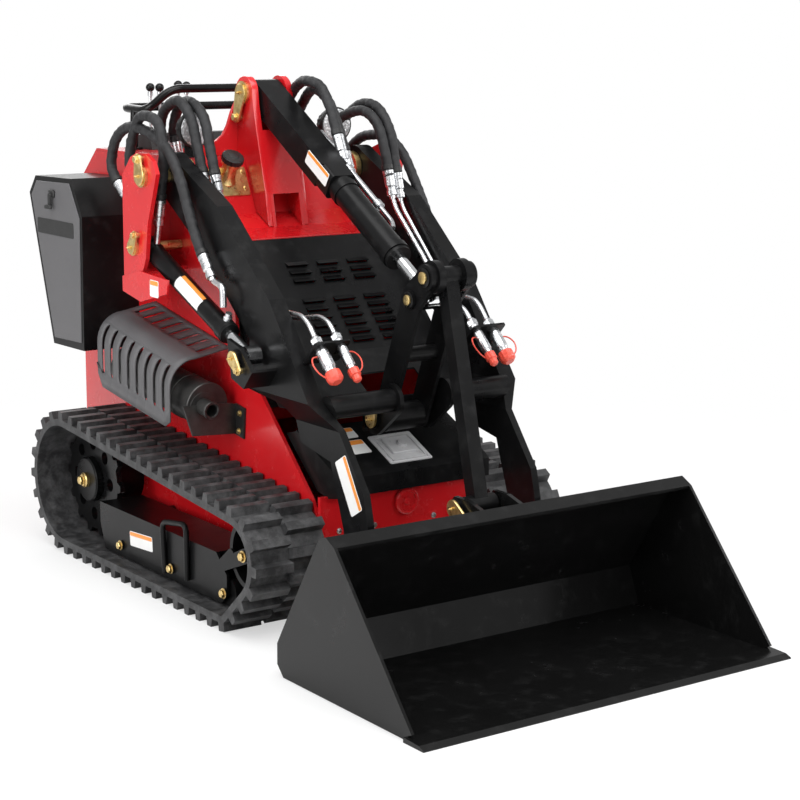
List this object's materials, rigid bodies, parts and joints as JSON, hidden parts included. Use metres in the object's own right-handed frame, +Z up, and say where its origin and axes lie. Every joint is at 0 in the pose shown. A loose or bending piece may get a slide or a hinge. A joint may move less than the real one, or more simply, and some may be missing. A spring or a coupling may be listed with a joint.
{
  "type": "mini skid steer loader",
  "caption": "Compact stand-on loader on two rubber tracks, with twin lift arms, a central tilt linkage and a wide bucket at the front.",
  "frame": {"origin": "centre of the bounding box on the floor, midway between the tracks", "axes": "+X to the right of a viewer in front of the bucket, -Y towards the bucket, +Z up"},
  "size_m": [1.118, 2.238, 1.391],
  "materials": {
    "red_paint": "gloss",
    "black_paint": "semi-gloss",
    "gloss_black": "gloss",
    "grey_paint": "satin",
    "gold_zinc": "satin",
    "bright_zinc": "satin",
    "chrome_rod": "mirror",
    "cast_engine": "rough",
    "exhaust_steel": "satin",
    "track_rubber": "matte",
    "black_plastic": "matte",
    "lamp_glass": "clear"
  },
  "bodies": {
    "chassis": {"chassis_frame": "red_paint", "chassis_pins": "gold_zinc", "control_levers": "black_plastic", "drive_motors": "black_paint", "engine_block": "cast_engine", "filler_neck": "gold_zinc", "front_cover": "black_paint", "handle_bars": "black_paint", "idlers": "black_paint", "lamp_lenses": "lamp_glass", "louvred_hood": "black_paint", "muffler": "exhaust_steel", "muffler_guard": "grey_paint", "paddle_latch": "bright_zinc", "rear_console": "black_plastic", "rollers": "black_paint", "side_boxes": "black_paint", "sprockets": "black_paint", "tilt_tower": "red_paint", "top_deck": "red_paint", "track_frames": "black_paint", "track_left": "track_rubber", "track_right": "track_rubber", "uprights": "red_paint", "work_lights": "black_plastic"},
    "arms": {"arm_left": "black_paint", "arm_right": "black_paint", "arm_cross_tubes": "black_paint"},
    "lift_barrel_left": {"lift_barrel_left": "black_paint"},
    "lift_barrel_right": {"lift_barrel_right": "black_paint"},
    "lift_rod_left": {"lift_rod_left": "chrome_rod"},
    "lift_rod_right": {"lift_rod_right": "chrome_rod"},
    "tilt_trunnion": {"tilt_trunnion": "gold_zinc"},
    "tilt_barrel": {"tilt_barrel": "black_paint"},
    "tilt_rod": {"tilt_rod": "chrome_rod"},
    "rocker_pin": {"rocker_pin": "gold_zinc"},
    "rocker": {"rocker": "black_paint"},
    "link_pin": {"link_pin": "gold_zinc"},
    "link": {"link": "black_paint"},
    "bucket_pins": {"bucket_pins": "gold_zinc"},
    "bucket": {"bucket": "gloss_black"},
    "platform": {"platform": "black_paint"}
  },
  "joints": [
    {"name": "arm_lift", "type": "hinge", "parent": "chassis", "child": "arms", "pos_m": [0, 0.401, 1.124], "axis": [-1, 0, 0], "range_deg": [0, 80]},
    {"name": "lift_swing_left", "type": "hinge", "parent": "chassis", "child": "lift_barrel_left", "pos_m": [-0.36, 0.454, 0.927], "axis": [-1, 0, 0], "range_deg": [0, 70.43]},
    {"name": "lift_rod_slide_left", "type": "slide", "parent": "lift_barrel_left", "child": "lift_rod_left", "axis": [0, -0.918, -0.3966], "range_m": [0, 0.2354]},
    {"name": "lift_swing_right", "type": "hinge", "parent": "chassis", "child": "lift_barrel_right", "pos_m": [0.36, 0.454, 0.927], "axis": [-1, 0, 0], "range_deg": [0, 70.43]},
    {"name": "lift_rod_slide_right", "type": "slide", "parent": "lift_barrel_right", "child": "lift_rod_right", "axis": [0, -0.918, -0.3966], "range_m": [0, 0.2354]},
    {"name": "trunnion_level", "type": "hinge", "parent": "chassis", "child": "tilt_trunnion", "pos_m": [0, 0.432, 1.341], "axis": [-1, 0, 0], "range_deg": [0, 73.66]},
    {"name": "trunnion_tilt", "type": "hinge", "parent": "tilt_trunnion", "child": "tilt_barrel", "pos_m": [0, 0.432, 1.341], "axis": [-1, 0, 0], "range_deg": [-2.63, 1.05]},
    {"name": "tilt_rod_slide", "type": "slide", "parent": "tilt_barrel", "child": "tilt_rod", "axis": [0, -0.8538, -0.5206], "range_m": [-0.0534, 0.1415]},
    {"name": "rocker_level", "type": "hinge", "parent": "arms", "child": "rocker_pin", "pos_m": [0, -0.244, 0.528], "axis": [-1, 0, 0], "range_deg": [-50.27, 0]},
    {"name": "rocker_tilt", "type": "hinge", "parent": "rocker_pin", "child": "rocker", "pos_m": [0, -0.244, 0.528], "axis": [-1, 0, 0], "range_deg": [-24.32, 9.18]},
    {"name": "link_level", "type": "hinge", "parent": "rocker", "child": "link_pin", "pos_m": [0, -0.437, 0.915], "axis": [-1, 0, 0], "range_deg": [0, 38.67]},
    {"name": "link_tilt", "type": "hinge", "parent": "link_pin", "child": "link", "pos_m": [0, -0.437, 0.915], "axis": [-1, 0, 0], "range_deg": [-6.82, 18.02]},
    {"name": "bucket_level", "type": "hinge", "parent": "arms", "child": "bucket_pins", "pos_m": [0, -0.449, 0.14], "axis": [-1, 0, 0], "range_deg": [-80.1, 0]},
    {"name": "bucket_tilt", "type": "hinge", "parent": "bucket_pins", "child": "bucket", "pos_m": [0, -0.449, 0.14], "axis": [-1, 0, 0], "range_deg": [-40, 15]},
    {"name": "platform_fold", "type": "hinge", "parent": "chassis", "child": "platform", "pos_m": [0, 1.098, 0.25], "axis": [-1, 0, 0], "range_deg": [0, 90]}
  ],
  "couplings": [
    {"joint": "bucket_level", "follows": "arm_lift", "ratio": -1},
    {"joint": "rocker_level", "follows": "arm_lift", "ratio": -0.6271},
    {"joint": "link_level", "follows": "arm_lift", "ratio": 0.4821},
    {"joint": "trunnion_level", "follows": "arm_lift", "ratio": 0.9195},
    {"joint": "lift_swing_left", "follows": "arm_lift", "ratio": 0.8791},
    {"joint": "lift_rod_slide_left", "follows": "arm_lift", "m_per_rad": 0.1682},
    {"joint": "lift_swing_right", "follows": "arm_lift", "ratio": 0.8791},
    {"joint": "lift_rod_slide_right", "follows": "arm_lift", "m_per_rad": 0.1682},
    {"joint": "rocker_tilt", "follows": "bucket_tilt", "ratio": 0.6055},
    {"joint": "link_tilt", "follows": "bucket_tilt", "ratio": -0.448},
    {"joint": "trunnion_tilt", "follows": "bucket_tilt", "ratio": 0.0633},
    {"joint": "tilt_rod_slide", "follows": "bucket_tilt", "m_per_rad": -0.2019}
  ]
}
